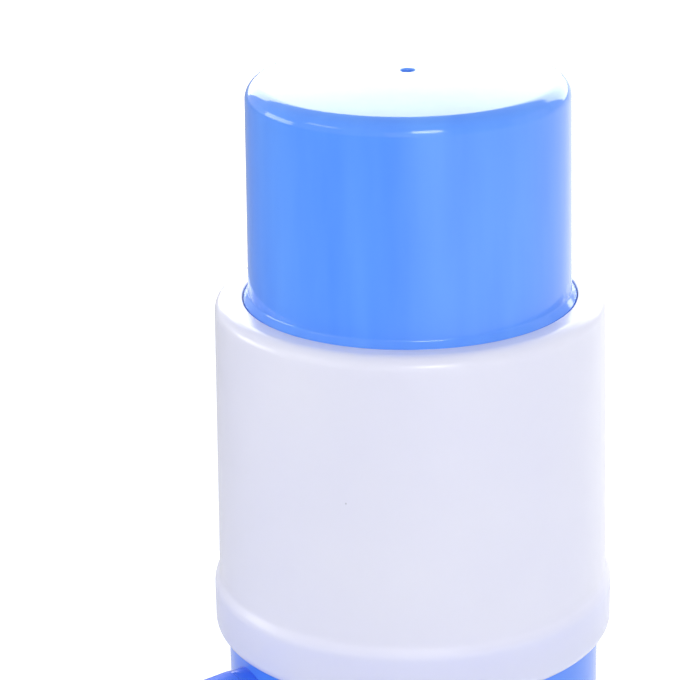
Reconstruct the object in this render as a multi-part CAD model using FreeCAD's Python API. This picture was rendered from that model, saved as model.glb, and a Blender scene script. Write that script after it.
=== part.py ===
import FreeCAD, Part
import math
import os

# Hand pump for a water jug. It clamps on the neck of the jug. Pressing the cap squeezes a bellows,
# which blows air through a flap valve into the jug, and the water rises through the base to the spout.
# Frame: millimetres, +Z up. The origin is the centre of the neck clamp's mouth, on the plane that the
# pump stands on. The spout points along -X.

# Neck clamp, from the jug's neck outwards
NECK_RADIUS = 27.5
NECK_DEPTH = 24.0
COLLET_TIP_WALL = 3.4
COLLET_SPIGOT_WALL = 1.7
COLLET_TAPER = 1.6
COLLET_HEAD_GAP = 4.0
COLLET_FLANGE_THICKNESS = 2.2
COLLET_FLANGE_WIDTH = 2.1
COLLET_SLOT_WIDTH = 2.4
COLLET_SLOT_COUNT = 8
WEDGE_CLEARANCE = 0.3
SKIRT_WALL = 2.0
SKIRT_FLANGE_GAP = 1.45
THREAD_PITCH = 4.0
THREAD_DEPTH = 0.9
THREAD_CLEARANCE = 0.35
THREAD_CREST_WIDTH = 1.1
THREAD_FLANK_SLOPE = 0.4
THREAD_RUN_OUT = 2.0
RING_WALL = 4.95
RING_SHORT_OF_SEAT = 2.5
RING_TOP_GAP = 0.5
RING_LIP_THICKNESS = 2.6
RING_SEAT_GAP = 0.15
RING_LIP_CLEARANCE = 0.35
RING_EDGE_ROUNDING = 1.0
GRIP_RIB_COUNT = 36
GRIP_RIB_HEIGHT = 0.9
GRIP_RIB_WIDTH = 3.4
GRIP_RIB_MARGIN = 2.6

# Base with its water duct and its port for the spout
GASKET_THICKNESS = 2.0
GASKET_WIDTH = 7.0
GASKET_CLEARANCE = 0.3
BASE_PLATE_THICKNESS = 2.5
COLLAR_WALL = 2.2
TUBE_SOCKET_RADIUS = 5.0
TUBE_SOCKET_REACH = 3.4
TUBE_SOCKET_WALL = 2.4
TUBE_STOP_WIDTH = 0.9
DUCT_BORE_RADIUS = 5.0
DUCT_WALL = 1.7
BOSS_RADIUS = 9.7
BOSS_RING_GAP = 2.3
BOSS_STANDS_OUT = 3.4
PORT_RADIUS = 8.05
PORT_DEPTH = 13.0
AIR_PORT_RADIUS = 3.6
AIR_PORT_COUNT = 4
POST_RADIUS = 2.9

# Spout
STUB_CLEARANCE = 0.05
SPOUT_BORE_RADIUS = 5.6
SPOUT_PIPE_RADIUS = 8.3
SPOUT_CONE_LENGTH = 15.0
SPOUT_BEND_RADIUS = 24.0
SPOUT_BEND_ANGLE = 78.0
SPOUT_TIP_LENGTH = 9.0
ORING_GROOVE_DEPTH = 1.6
ORING_GROOVE_WIDTH = 2.2
ORING_CLEARANCE = 0.03

# Deck that carries the bellows and the outlet valve
DECK_ABOVE_BOSS = 2.3
DECK_THICKNESS = 2.5
DECK_CLEARANCE = 0.15
DECK_SEAL_DEPTH = 1.7
DECK_SEAL_HEIGHT = 1.6
DECK_LEDGE_WIDTH = 2.4
DECK_LEDGE_THICKNESS = 2.0
CLAMP_RING_THICKNESS = 2.9
CLAMP_RING_INSET = 1.4
FOOT_CLEARANCE = 0.3

# Housing and its snap fit on the base
COLLAR_ABOVE_DECK = 5.5
LIP_OVERLAP = 7.0
LIP_HEIGHT = 12.0
LIP_WALL = 2.64
LIP_STEP = 1.1
LIP_FOOT_WIDTH = 0.4
LIP_ROUNDING = 2.4
LIP_STEP_ROUNDING = 0.6
SNAP_HEIGHT = 1.8
SNAP_DEPTH = 0.65
SNAP_BELOW_SEAT = 4.4
HOUSING_CLEARANCE = 0.1
HOUSING_HEIGHT = 68.0
HOUSING_WALL = 1.9
HOUSING_DRAFT = 0.9
HOUSING_TOP_WALL = 1.6
OPENING_EDGE_ROUNDING = 0.8
SHOULDER_ROUNDING = 3.6

# Press cap
CAP_RIM_RADIUS = 33.9
CAP_DRAFT = 0.5
CAP_WALL = 1.8
CAP_STROKE = 38.0
CAP_LEFT_OUT = 8.3
CAP_DOME_RISE = 1.4
CAP_EDGE_ROUNDING = 5.0
CAP_OPENING_GAP = 1.2
CAP_STOP_GAP = 0.3
CAP_FLANGE_WIDTH = 4.6
CAP_FLANGE_THICKNESS = 2.0
CAP_GUIDE_CLEARANCE = 0.6
CAP_GUIDE_LENGTH = 12.0
VENT_RADIUS = 1.4

# Bellows, its top plate and its top ring
BELLOWS_SIDE_GAP = 1.6
BELLOWS_FOLD_DEPTH = 7.0
BELLOWS_WALL = 1.0
BELLOWS_FLANGE_THICKNESS = 1.4
BELLOWS_FOLDS = 11
BELLOWS_FOOT_NECK = 3.6
BELLOWS_HEAD_NECK = 5.8
BELLOWS_SEAT_GAP = 0.1
NECK_RING_CLEARANCE = 0.8
TOP_PLATE_THICKNESS = 2.2
TOP_PLATE_CLEARANCE = 0.6
TOP_PLATE_DROP = 3.6
TOP_RING_THICKNESS = 2.4

# Flap valves
FLAP_THICKNESS = 0.8
FLAP_MARGIN = 1.8
FLAP_SEAT_GAP = 0.1
FLAP_TRAVEL = 2.0
FLAP_END_GAP = 0.4
PIN_RADIUS = 1.5
PIN_CLEARANCE = 0.06
PIN_HEAD_RADIUS = 3.1
PIN_HEAD_THICKNESS = 1.0
PIN_TAIL = 1.2
CLIP_RADIUS = 3.3
CLIP_THICKNESS = 0.8
VALVE_HOLE_RADIUS = 1.6
VALVE_HOLE_CLEARANCE = 0.5
VALVE_HOLE_COUNT = 6

# Screws
SCREW_COUNT = 4
SCREW_FIRST_ANGLE = 45.0
SCREW_RADIUS = 1.3
SCREW_HEAD_RADIUS = 2.4
SCREW_HEAD_THICKNESS = 1.6
SCREW_BITE = 7.0
SCREW_CLEARANCE = 0.05
SCREW_PASS_CLEARANCE = 0.25
SCREW_EDGE = 0.6
CAP_SCREW_BITE = 2.6
CAP_BOSS_WALL = 1.3
DRIVE_SLOT_LENGTH = 3.1
DRIVE_SLOT_WIDTH = 0.7
DRIVE_SLOT_DEPTH = 0.8

# How far a solid runs past a face that it joins or cuts, and the play left at a blind end
OVERRUN = 0.4
BLIND_END_PLAY = 0.4

# Heights that follow from the sizes above
collet_top_z = NECK_DEPTH - COLLET_HEAD_GAP
collet_flange_z = RING_LIP_THICKNESS + RING_SEAT_GAP
collet_flange_top_z = collet_flange_z + COLLET_FLANGE_THICKNESS
skirt_bottom_z = collet_flange_top_z + SKIRT_FLANGE_GAP
ring_top_z = NECK_DEPTH - RING_SHORT_OF_SEAT
skirt_ridge_z = skirt_bottom_z + THREAD_CREST_WIDTH
ring_ridge_z = skirt_ridge_z + THREAD_PITCH / 2
thread_turns = (ring_top_z - THREAD_RUN_OUT - ring_ridge_z) / THREAD_PITCH
collar_bottom_z = ring_top_z + RING_TOP_GAP
base_plate_z = NECK_DEPTH + GASKET_THICKNESS
base_plate_top_z = base_plate_z + BASE_PLATE_THICKNESS
socket_mouth_z = NECK_DEPTH - TUBE_SOCKET_REACH
spout_axis_z = ring_top_z + BOSS_RING_GAP + BOSS_RADIUS
deck_z = spout_axis_z + BOSS_RADIUS + DECK_ABOVE_BOSS
deck_top_z = deck_z + DECK_THICKNESS
housing_seat_z = deck_top_z + COLLAR_ABOVE_DECK
lip_bottom_z = housing_seat_z - LIP_OVERLAP
lip_step_z = lip_bottom_z + LIP_HEIGHT
snap_low_z = housing_seat_z - SNAP_BELOW_SEAT
snap_top_z = snap_low_z + SNAP_HEIGHT
rim_z = housing_seat_z + HOUSING_HEIGHT
cap_edge_z = rim_z + CAP_STROKE + CAP_LEFT_OUT
flange_top_z = rim_z - HOUSING_TOP_WALL - CAP_STOP_GAP
top_plate_top_z = cap_edge_z - CAP_WALL - TOP_PLATE_DROP
top_plate_z = top_plate_top_z - TOP_PLATE_THICKNESS
bellows_top_z = top_plate_z - BELLOWS_SEAT_GAP
top_ring_top_z = bellows_top_z - BELLOWS_FLANGE_THICKNESS - BELLOWS_SEAT_GAP
top_ring_z = top_ring_top_z - TOP_RING_THICKNESS
clamp_ring_z = deck_top_z + BELLOWS_FLANGE_THICKNESS
clamp_ring_top_z = clamp_ring_z + CLAMP_RING_THICKNESS

# Radii that follow from the sizes above
collet_tip_radius = NECK_RADIUS + COLLET_TIP_WALL
collet_root_radius = collet_tip_radius + COLLET_TAPER
collet_spigot_radius = NECK_RADIUS + COLLET_SPIGOT_WALL
skirt_top_bore = collet_tip_radius + WEDGE_CLEARANCE
skirt_mouth_bore = collet_root_radius + WEDGE_CLEARANCE
skirt_radius = skirt_mouth_bore + SKIRT_WALL
thread_crest_radius = skirt_radius + THREAD_DEPTH
ring_bore_radius = thread_crest_radius + THREAD_CLEARANCE
ring_radius = ring_bore_radius + RING_WALL
cap_top_radius = CAP_RIM_RADIUS - CAP_DRAFT
opening_radius = CAP_RIM_RADIUS + CAP_OPENING_GAP
flange_radius = CAP_RIM_RADIUS + CAP_FLANGE_WIDTH
housing_bore_top = flange_radius + CAP_GUIDE_CLEARANCE
housing_bore_foot = housing_bore_top + HOUSING_DRAFT
housing_top_radius = housing_bore_top + HOUSING_WALL
housing_foot_radius = housing_bore_foot + HOUSING_WALL
lip_radius = housing_foot_radius + LIP_STEP
lip_bore_radius = lip_radius - LIP_WALL
collar_radius = lip_bore_radius - HOUSING_CLEARANCE
collar_bore_radius = collar_radius - COLLAR_WALL
gasket_radius = NECK_RADIUS - GASKET_CLEARANCE
gasket_bore_radius = gasket_radius - GASKET_WIDTH
socket_radius = TUBE_SOCKET_RADIUS + TUBE_SOCKET_WALL
air_port_circle = (socket_radius + gasket_bore_radius) / 2
duct_radius = DUCT_BORE_RADIUS + DUCT_WALL
boss_face_x = -(collar_radius + BOSS_STANDS_OUT)
port_floor_x = boss_face_x + PORT_DEPTH
stub_radius = PORT_RADIUS - STUB_CLEARANCE
stub_end_x = port_floor_x - BLIND_END_PLAY
oring_groove_x = (stub_end_x + boss_face_x) / 2
oring_floor_radius = stub_radius - ORING_GROOVE_DEPTH
deck_radius = collar_bore_radius - DECK_CLEARANCE
screw_hole_radius = SCREW_RADIUS + SCREW_CLEARANCE
screw_pass_radius = SCREW_RADIUS + SCREW_PASS_CLEARANCE
screw_land = screw_pass_radius + SCREW_EDGE
clamp_ring_radius = collar_bore_radius - CLAMP_RING_INSET
post_circle = clamp_ring_radius - screw_land
foot_recess_radius = post_circle - screw_land
bellows_foot_radius = foot_recess_radius - FOOT_CLEARANCE
bellows_crest_radius = cap_top_radius - CAP_WALL - BELLOWS_SIDE_GAP
bellows_valley_radius = bellows_crest_radius - BELLOWS_FOLD_DEPTH
bellows_neck_radius = bellows_valley_radius + BELLOWS_WALL / 2
bellows_bore_radius = bellows_valley_radius - BELLOWS_WALL / 2
neck_ring_bore = bellows_neck_radius + NECK_RING_CLEARANCE
top_plate_radius = cap_top_radius - CAP_WALL - TOP_PLATE_CLEARANCE
cap_screw_circle = top_plate_radius - screw_land
head_recess_radius = cap_screw_circle - screw_land
bellows_head_radius = head_recess_radius - FOOT_CLEARANCE
valve_hole_circle = CLIP_RADIUS + VALVE_HOLE_RADIUS + VALVE_HOLE_CLEARANCE
flap_radius = valve_hole_circle + VALVE_HOLE_RADIUS + FLAP_MARGIN

UP = FreeCAD.Vector(0, 0, 1)
ORIGIN = FreeCAD.Vector(0, 0, 0)

# How far the middle of a quarter round lies in from both its faces, for a radius of one
ROUND_INSET = 1 - math.sqrt(0.5)


def point(radius, height):
    """A point of an outline that is turned about the pump's axis."""
    return FreeCAD.Vector(radius, 0, height)


def turned(*steps):
    """Solid of revolution. A step is a corner (r, z), or (mid r, mid z, end r, end z) for an arc."""
    first = point(*steps[0])
    here = first
    edges = []
    for step in steps[1:] + (steps[0],):
        there = point(*step[-2:])
        if len(step) == 4:
            edges.append(Part.Arc(here, point(*step[:2]), there).toShape())
        elif here.distanceToPoint(there) > 1e-6:
            edges.append(Part.LineSegment(here, there).toShape())
        here = there
    return Part.Face(Part.Wire(edges)).revolve(ORIGIN, UP, 360)


def ring(bore, radius, low, high):
    """A plain ring about the pump's axis."""
    return turned((bore, low), (radius, low), (radius, high), (bore, high))


def disc(radius, low, high, x=0.0, y=0.0):
    """An upright cylinder between two heights."""
    return Part.makeCylinder(radius, high - low, FreeCAD.Vector(x, y, low), UP)


def rod_x(radius, x_from, x_to, height):
    """A cylinder along X at a height on the pump's middle plane."""
    start = FreeCAD.Vector(max(x_from, x_to), 0, height)
    return Part.makeCylinder(radius, abs(x_to - x_from), start, FreeCAD.Vector(-1, 0, 0))


def around(count, circle, first_degrees=0.0):
    """Places evenly round a circle, as (x, y) pairs."""
    places = []
    for index in range(count):
        angle = math.radians(first_degrees + 360.0 * index / count)
        places.append((circle * math.cos(angle), circle * math.sin(angle)))
    return places


def rounded_corner(centre_r, centre_z, radius):
    """Mid and end point of a quarter round that comes from below and turns inwards."""
    diagonal = radius / math.sqrt(2)
    return (centre_r + diagonal, centre_z + diagonal, centre_r, centre_z + radius)


def save(shape, node):
    """Writes one sub-part and prints what it is."""
    shape.exportStep("parts/" + node + ".step")
    print(node, "solids", len(shape.Solids), "volume", round(shape.Volume, 1), "valid", shape.isValid())


def thread_ridge(core_radius, crest_radius, start_z, turns):
    """One helical thread ridge, whose foot is sunk a little into the wall that carries it."""
    outward = 1.0 if crest_radius > core_radius else -1.0
    foot_radius = core_radius - outward * OVERRUN
    half_crest = THREAD_CREST_WIDTH / 2
    half_foot = half_crest + THREAD_FLANK_SLOPE * abs(crest_radius - foot_radius)
    corners = [
        point(foot_radius, start_z - half_foot),
        point(crest_radius, start_z - half_crest),
        point(crest_radius, start_z + half_crest),
        point(foot_radius, start_z + half_foot),
    ]
    profile = Part.makePolygon(corners + corners[:1])
    helix = Part.makeHelix(THREAD_PITCH, THREAD_PITCH * turns, core_radius)
    helix.translate(FreeCAD.Vector(0, 0, start_z))
    return Part.Wire(helix).makePipeShell([profile], True, True)


def pan_screw(head_z, length, x, y, head_up):
    """A pan-head screw. head_z is the seat of its head, and the shank runs away from the head."""
    way = 1.0 if head_up else -1.0
    head = Part.makeCylinder(
        SCREW_HEAD_RADIUS, SCREW_HEAD_THICKNESS, FreeCAD.Vector(x, y, head_z), UP * way
    )
    shank = Part.makeCylinder(SCREW_RADIUS, length, FreeCAD.Vector(x, y, head_z), UP * -way)
    screw = head.fuse(shank)
    top_z = head_z + way * SCREW_HEAD_THICKNESS
    slot_low = min(top_z, top_z - way * DRIVE_SLOT_DEPTH)
    for across, along in ((1, 0), (0, 1)):
        width = DRIVE_SLOT_LENGTH * across + DRIVE_SLOT_WIDTH * along
        depth = DRIVE_SLOT_LENGTH * along + DRIVE_SLOT_WIDTH * across
        corner = FreeCAD.Vector(x - width / 2, y - depth / 2, slot_low)
        screw = screw.cut(Part.makeBox(width, depth, DRIVE_SLOT_DEPTH, corner))
    return screw.removeSplitter()


def tangent_arc(wall_r, wall_z, inwards, downwards):
    """Arc that leaves an upright wall smoothly, going down and in. Gives its mid and end point."""
    radius = (inwards**2 + downwards**2) / (2 * inwards)
    half = math.atan2(inwards, downwards)
    mid = (wall_r - radius * (1 - math.cos(half)), wall_z - radius * math.sin(half))
    return mid, (wall_r - inwards, wall_z - downwards)


def make_clamp_ring():
    """The ring that is turned by hand to close the collet on the jug's neck."""
    lip_bore = collet_spigot_radius + RING_LIP_CLEARANCE
    edge = RING_EDGE_ROUNDING
    inset = edge * ROUND_INSET
    body = turned(
        (lip_bore, 0),
        (ring_radius - edge, 0),
        (ring_radius - inset, inset, ring_radius, edge),
        (ring_radius, ring_top_z - edge),
        rounded_corner(ring_radius - edge, ring_top_z - edge, edge),
        (ring_bore_radius, ring_top_z),
        (ring_bore_radius, RING_LIP_THICKNESS),
        (lip_bore, RING_LIP_THICKNESS),
    )
    rib_top = ring_top_z - GRIP_RIB_MARGIN
    rib_circle = ring_radius + GRIP_RIB_HEIGHT - GRIP_RIB_WIDTH / 2
    ribs = []
    for x, y in around(GRIP_RIB_COUNT, rib_circle, 180.0 / GRIP_RIB_COUNT):
        ribs.append(disc(GRIP_RIB_WIDTH / 2, GRIP_RIB_MARGIN, rib_top, x, y))
    body = body.fuse(ribs)
    internal_crest = skirt_radius + THREAD_CLEARANCE
    return body.fuse(thread_ridge(ring_bore_radius, internal_crest, ring_ridge_z, thread_turns))


def make_collet():
    """The slotted wedge ring between the skirt and the jug's neck."""
    thrust_radius = collet_root_radius + COLLET_FLANGE_WIDTH
    body = turned(
        (NECK_RADIUS, 0),
        (collet_spigot_radius, 0),
        (collet_spigot_radius, collet_flange_z),
        (thrust_radius, collet_flange_z),
        (thrust_radius, collet_flange_top_z),
        (collet_root_radius, collet_flange_top_z),
        (collet_root_radius, skirt_bottom_z),
        (collet_tip_radius, collet_top_z),
        (NECK_RADIUS, collet_top_z),
    )
    for index in range(COLLET_SLOT_COUNT):
        slot = Part.makeBox(
            collet_root_radius,
            COLLET_SLOT_WIDTH,
            collet_top_z,
            FreeCAD.Vector(NECK_RADIUS / 2, -COLLET_SLOT_WIDTH / 2, skirt_bottom_z),
        )
        slot.rotate(ORIGIN, UP, 360.0 * (index + 0.5) / COLLET_SLOT_COUNT)
        body = body.cut(slot)
    return body


def make_base_body():
    """Collar, threaded skirt, water duct, spout port and screw posts in one moulding."""
    ledge_radius = collar_bore_radius - DECK_LEDGE_WIDTH
    ledge_z = deck_z - DECK_LEDGE_THICKNESS
    body = turned(
        (0, base_plate_z),
        (skirt_top_bore, base_plate_z),
        (skirt_top_bore, collet_top_z),
        (skirt_mouth_bore, skirt_bottom_z),
        (skirt_radius, skirt_bottom_z),
        (skirt_radius, collar_bottom_z),
        (collar_radius, collar_bottom_z),
        (collar_radius, snap_low_z),
        (collar_radius + SNAP_DEPTH, snap_low_z + SNAP_DEPTH),
        (collar_radius + SNAP_DEPTH, snap_top_z - SNAP_DEPTH / 2),
        (collar_radius, snap_top_z),
        (collar_radius, housing_seat_z),
        (collar_bore_radius, housing_seat_z),
        (collar_bore_radius, deck_z),
        (ledge_radius, deck_z),
        (ledge_radius, ledge_z),
        (collar_bore_radius, ledge_z - DECK_LEDGE_WIDTH),
        (collar_bore_radius, base_plate_top_z),
        (0, base_plate_top_z),
    )
    joined = []
    for x, y in around(SCREW_COUNT, post_circle, SCREW_FIRST_ANGLE):
        joined.append(disc(POST_RADIUS, base_plate_top_z - OVERRUN, deck_z, x, y))
    boss_end_x = port_floor_x + DUCT_WALL
    joined.append(rod_x(duct_radius, duct_radius, boss_end_x - OVERRUN, spout_axis_z))
    joined.append(rod_x(BOSS_RADIUS, boss_end_x, boss_face_x, spout_axis_z))
    joined.append(disc(socket_radius, socket_mouth_z, spout_axis_z))
    body = body.fuse(joined)
    removed = [
        disc(TUBE_SOCKET_RADIUS, socket_mouth_z - OVERRUN, spout_axis_z - duct_radius),
        disc(TUBE_SOCKET_RADIUS - TUBE_STOP_WIDTH, socket_mouth_z - OVERRUN, spout_axis_z),
        rod_x(DUCT_BORE_RADIUS, duct_radius - DUCT_WALL, boss_face_x, spout_axis_z),
        rod_x(PORT_RADIUS, port_floor_x, boss_face_x - OVERRUN, spout_axis_z),
    ]
    for x, y in around(AIR_PORT_COUNT, air_port_circle, 180.0 / AIR_PORT_COUNT):
        port_low_z = base_plate_z - OVERRUN
        removed.append(disc(AIR_PORT_RADIUS, port_low_z, base_plate_top_z + OVERRUN, x, y))
    screw_hole_z = deck_z - SCREW_BITE - BLIND_END_PLAY
    for x, y in around(SCREW_COUNT, post_circle, SCREW_FIRST_ANGLE):
        removed.append(disc(screw_hole_radius, screw_hole_z, deck_z + OVERRUN, x, y))
    for tool in removed:
        body = body.cut(tool)
    body = body.removeSplitter()
    return body.fuse(thread_ridge(skirt_radius, thread_crest_radius, skirt_ridge_z, thread_turns))


def make_neck_gasket():
    """Flat soft ring that the jug's rim seals against."""
    return ring(gasket_bore_radius, gasket_radius, NECK_DEPTH, base_plate_z)


def make_spout():
    """Push-in stub, shoulder cone, bend and straight tip of the spout, with one bore through all."""
    cone_end_x = boss_face_x - SPOUT_CONE_LENGTH
    bend_centre = FreeCAD.Vector(cone_end_x, 0, spout_axis_z - SPOUT_BEND_RADIUS)
    outer = rod_x(stub_radius, stub_end_x, boss_face_x - OVERRUN, spout_axis_z)
    outer = outer.fuse(
        Part.makeCone(
            BOSS_RADIUS,
            SPOUT_PIPE_RADIUS,
            SPOUT_CONE_LENGTH,
            FreeCAD.Vector(boss_face_x, 0, spout_axis_z),
            FreeCAD.Vector(-1, 0, 0),
        )
    )
    bore = rod_x(SPOUT_BORE_RADIUS, stub_end_x + OVERRUN, cone_end_x, spout_axis_z)
    angle = math.radians(SPOUT_BEND_ANGLE)
    tip_start = bend_centre + FreeCAD.Vector(
        -SPOUT_BEND_RADIUS * math.sin(angle), 0, SPOUT_BEND_RADIUS * math.cos(angle)
    )
    tip_way = FreeCAD.Vector(-math.cos(angle), 0, -math.sin(angle))
    solids = []
    for radius, past_end in ((SPOUT_PIPE_RADIUS, 0.0), (SPOUT_BORE_RADIUS, OVERRUN)):
        section = Part.Face(
            Part.Wire(
                Part.makeCircle(
                    radius,
                    FreeCAD.Vector(cone_end_x, 0, spout_axis_z),
                    FreeCAD.Vector(1, 0, 0),
                )
            )
        )
        bend = section.revolve(bend_centre, FreeCAD.Vector(0, -1, 0), SPOUT_BEND_ANGLE)
        tip = Part.makeCylinder(radius, SPOUT_TIP_LENGTH + past_end, tip_start, tip_way)
        solids.append(bend.fuse(tip))
    outer = outer.fuse(solids[0])
    bore = bore.fuse(solids[1])
    groove = rod_x(
        stub_radius + OVERRUN,
        oring_groove_x + ORING_GROOVE_WIDTH / 2,
        oring_groove_x - ORING_GROOVE_WIDTH / 2,
        spout_axis_z,
    )
    groove = groove.cut(rod_x(oring_floor_radius, stub_end_x, boss_face_x, spout_axis_z))
    return outer.cut(bore).cut(groove).removeSplitter()


def make_spout_oring():
    """Round seal ring in the groove of the spout's stub."""
    wire_radius = (PORT_RADIUS - oring_floor_radius) / 2 - ORING_CLEARANCE
    centre = FreeCAD.Vector(oring_groove_x, 0, spout_axis_z)
    return Part.makeTorus(
        (PORT_RADIUS + oring_floor_radius) / 2, wire_radius, centre, FreeCAD.Vector(1, 0, 0)
    )


def cut_valve_holes(plate, low, high):
    """Cuts the pin hole and the ring of air holes of a flap valve."""
    low -= OVERRUN
    high += OVERRUN
    plate = plate.cut(disc(PIN_RADIUS + PIN_CLEARANCE, low, high))
    for x, y in around(VALVE_HOLE_COUNT, valve_hole_circle):
        plate = plate.cut(disc(VALVE_HOLE_RADIUS, low, high, x, y))
    return plate


def make_flap(plate_low):
    """Soft disc that hangs on its pin just under a valve plate."""
    top = plate_low - FLAP_SEAT_GAP
    return ring(PIN_RADIUS + PIN_CLEARANCE, flap_radius, top - FLAP_THICKNESS, top)


def make_valve_pin(plate_low, plate_high):
    """Pin whose head stops the flap, pushed up through the plate."""
    head_top = plate_low - FLAP_SEAT_GAP - FLAP_THICKNESS - FLAP_TRAVEL - FLAP_END_GAP
    head = disc(PIN_HEAD_RADIUS, head_top - PIN_HEAD_THICKNESS, head_top)
    return head.fuse(disc(PIN_RADIUS, head_top - OVERRUN, plate_high + PIN_TAIL)).removeSplitter()


def make_pin_clip(plate_high):
    """Push-on clip that holds the pin from above."""
    return ring(PIN_RADIUS + PIN_CLEARANCE, CLIP_RADIUS, plate_high, plate_high + CLIP_THICKNESS)


def make_deck_plate():
    """Plate over the air chamber, with the outlet valve's holes and a groove for its seal."""
    seal_room = DECK_SEAL_HEIGHT / 2
    middle = (deck_z + deck_top_z) / 2
    plate = turned(
        (0, deck_z),
        (deck_radius, deck_z),
        (deck_radius, middle - seal_room),
        (deck_radius - DECK_SEAL_DEPTH, middle - seal_room),
        (deck_radius - DECK_SEAL_DEPTH, middle + seal_room),
        (deck_radius, middle + seal_room),
        (deck_radius, deck_top_z),
        (0, deck_top_z),
    )
    plate = cut_valve_holes(plate, deck_z, deck_top_z)
    for x, y in around(SCREW_COUNT, post_circle, SCREW_FIRST_ANGLE):
        plate = plate.cut(disc(screw_pass_radius, deck_z - OVERRUN, deck_top_z + OVERRUN, x, y))
    return plate


def make_deck_seal():
    """Round seal ring between the deck plate and the collar."""
    middle = (deck_z + deck_top_z) / 2
    floor_radius = deck_radius - DECK_SEAL_DEPTH
    wire_radius = min(collar_bore_radius - floor_radius, DECK_SEAL_HEIGHT) / 2 - ORING_CLEARANCE
    centre_radius = collar_bore_radius - ORING_CLEARANCE - wire_radius
    return Part.makeTorus(centre_radius, wire_radius, FreeCAD.Vector(0, 0, middle), UP)


def make_bellows_clamp_ring():
    """Ring that screws the foot of the bellows down on the deck."""
    body = turned(
        (neck_ring_bore, clamp_ring_z),
        (foot_recess_radius, clamp_ring_z),
        (foot_recess_radius, deck_top_z),
        (clamp_ring_radius, deck_top_z),
        (clamp_ring_radius, clamp_ring_top_z),
        (neck_ring_bore, clamp_ring_top_z),
    )
    for x, y in around(SCREW_COUNT, post_circle, SCREW_FIRST_ANGLE):
        hole_low = deck_top_z - OVERRUN
        body = body.cut(disc(screw_pass_radius, hole_low, clamp_ring_top_z + OVERRUN, x, y))
    return body


def make_deck_screws():
    """Screws through the clamp ring and the deck plate into the base's posts."""
    length = clamp_ring_top_z - deck_z + SCREW_BITE
    screws = []
    for x, y in around(SCREW_COUNT, post_circle, SCREW_FIRST_ANGLE):
        screws.append(pan_screw(clamp_ring_top_z, length, x, y, True))
    return Part.makeCompound(screws)


def bellows_wall(side, low_z, pitch):
    """One face of the folded wall, from its lower neck to its upper neck, as outline steps."""
    bend = pitch / 4
    offset = side * BELLOWS_WALL / 2
    crest_centre = bellows_crest_radius - BELLOWS_WALL / 2 - bend
    valley_centre = bellows_valley_radius + bend
    crest = bend + offset
    valley = bend - offset
    slope = math.sqrt(0.5)
    steps = [(valley_centre - valley, low_z)]
    z = low_z
    for fold in range(BELLOWS_FOLDS):
        flat = z + valley
        if fold == 0:
            steps.append((valley_centre - valley * slope, z + valley * slope, valley_centre, flat))
        else:
            steps.append((valley_centre - valley, z, valley_centre, flat))
        middle = z + pitch / 2
        steps.append((crest_centre, middle - crest))
        steps.append((crest_centre + crest, middle, crest_centre, middle + crest))
        z += pitch
        steps.append((valley_centre, z - valley))
    steps.append((valley_centre - valley * slope, z - valley * slope, valley_centre - valley, z))
    return steps


def reversed_steps(steps):
    """The same outline walked the other way."""
    walked = [steps[-1][-2:]]
    for index in range(len(steps) - 1, 0, -1):
        end = steps[index - 1][-2:]
        walked.append(steps[index][:2] + end if len(steps[index]) == 4 else end)
    return walked


def make_bellows():
    """Folded soft bellows with a foot flange and a head flange."""
    foot_top = deck_top_z + BELLOWS_FLANGE_THICKNESS
    head_low = bellows_top_z - BELLOWS_FLANGE_THICKNESS
    folds_low = foot_top + BELLOWS_FOOT_NECK
    folds_high = head_low - BELLOWS_HEAD_NECK
    pitch = (folds_high - folds_low) / BELLOWS_FOLDS
    outer = bellows_wall(1.0, folds_low, pitch)
    inner = reversed_steps(bellows_wall(-1.0, folds_low, pitch))
    foot = [
        (bellows_bore_radius, deck_top_z),
        (bellows_foot_radius, deck_top_z),
        (bellows_foot_radius, foot_top),
        (bellows_neck_radius, foot_top),
    ]
    head = [
        (bellows_neck_radius, head_low),
        (bellows_head_radius, head_low),
        (bellows_head_radius, bellows_top_z),
        (bellows_bore_radius, bellows_top_z),
    ]
    return turned(*(foot + outer + head + inner))


def make_top_plate():
    """Plate under the cap's top that closes the bellows and seats the intake valve."""
    plate = disc(top_plate_radius, top_plate_z, top_plate_top_z)
    plate = cut_valve_holes(plate, top_plate_z, top_plate_top_z)
    for x, y in around(SCREW_COUNT, cap_screw_circle, SCREW_FIRST_ANGLE):
        hole_low = top_plate_z - OVERRUN
        plate = plate.cut(disc(screw_pass_radius, hole_low, top_plate_top_z + OVERRUN, x, y))
    return plate


def make_top_ring():
    """Ring that holds the head flange of the bellows up against the top plate."""
    body = turned(
        (neck_ring_bore, top_ring_z),
        (top_plate_radius, top_ring_z),
        (top_plate_radius, top_plate_z),
        (head_recess_radius, top_plate_z),
        (head_recess_radius, top_ring_top_z),
        (neck_ring_bore, top_ring_top_z),
    )
    for x, y in around(SCREW_COUNT, cap_screw_circle, SCREW_FIRST_ANGLE):
        body = body.cut(disc(screw_hole_radius, top_ring_z - OVERRUN, top_plate_z + OVERRUN, x, y))
    return body


def make_cap_screws():
    """Screws through the top ring and the top plate into the cap's bosses."""
    length = top_plate_top_z - top_ring_z + CAP_SCREW_BITE
    screws = []
    for x, y in around(SCREW_COUNT, cap_screw_circle, SCREW_FIRST_ANGLE):
        screws.append(pan_screw(top_ring_z, length, x, y, False))
    return Part.makeCompound(screws)


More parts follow.
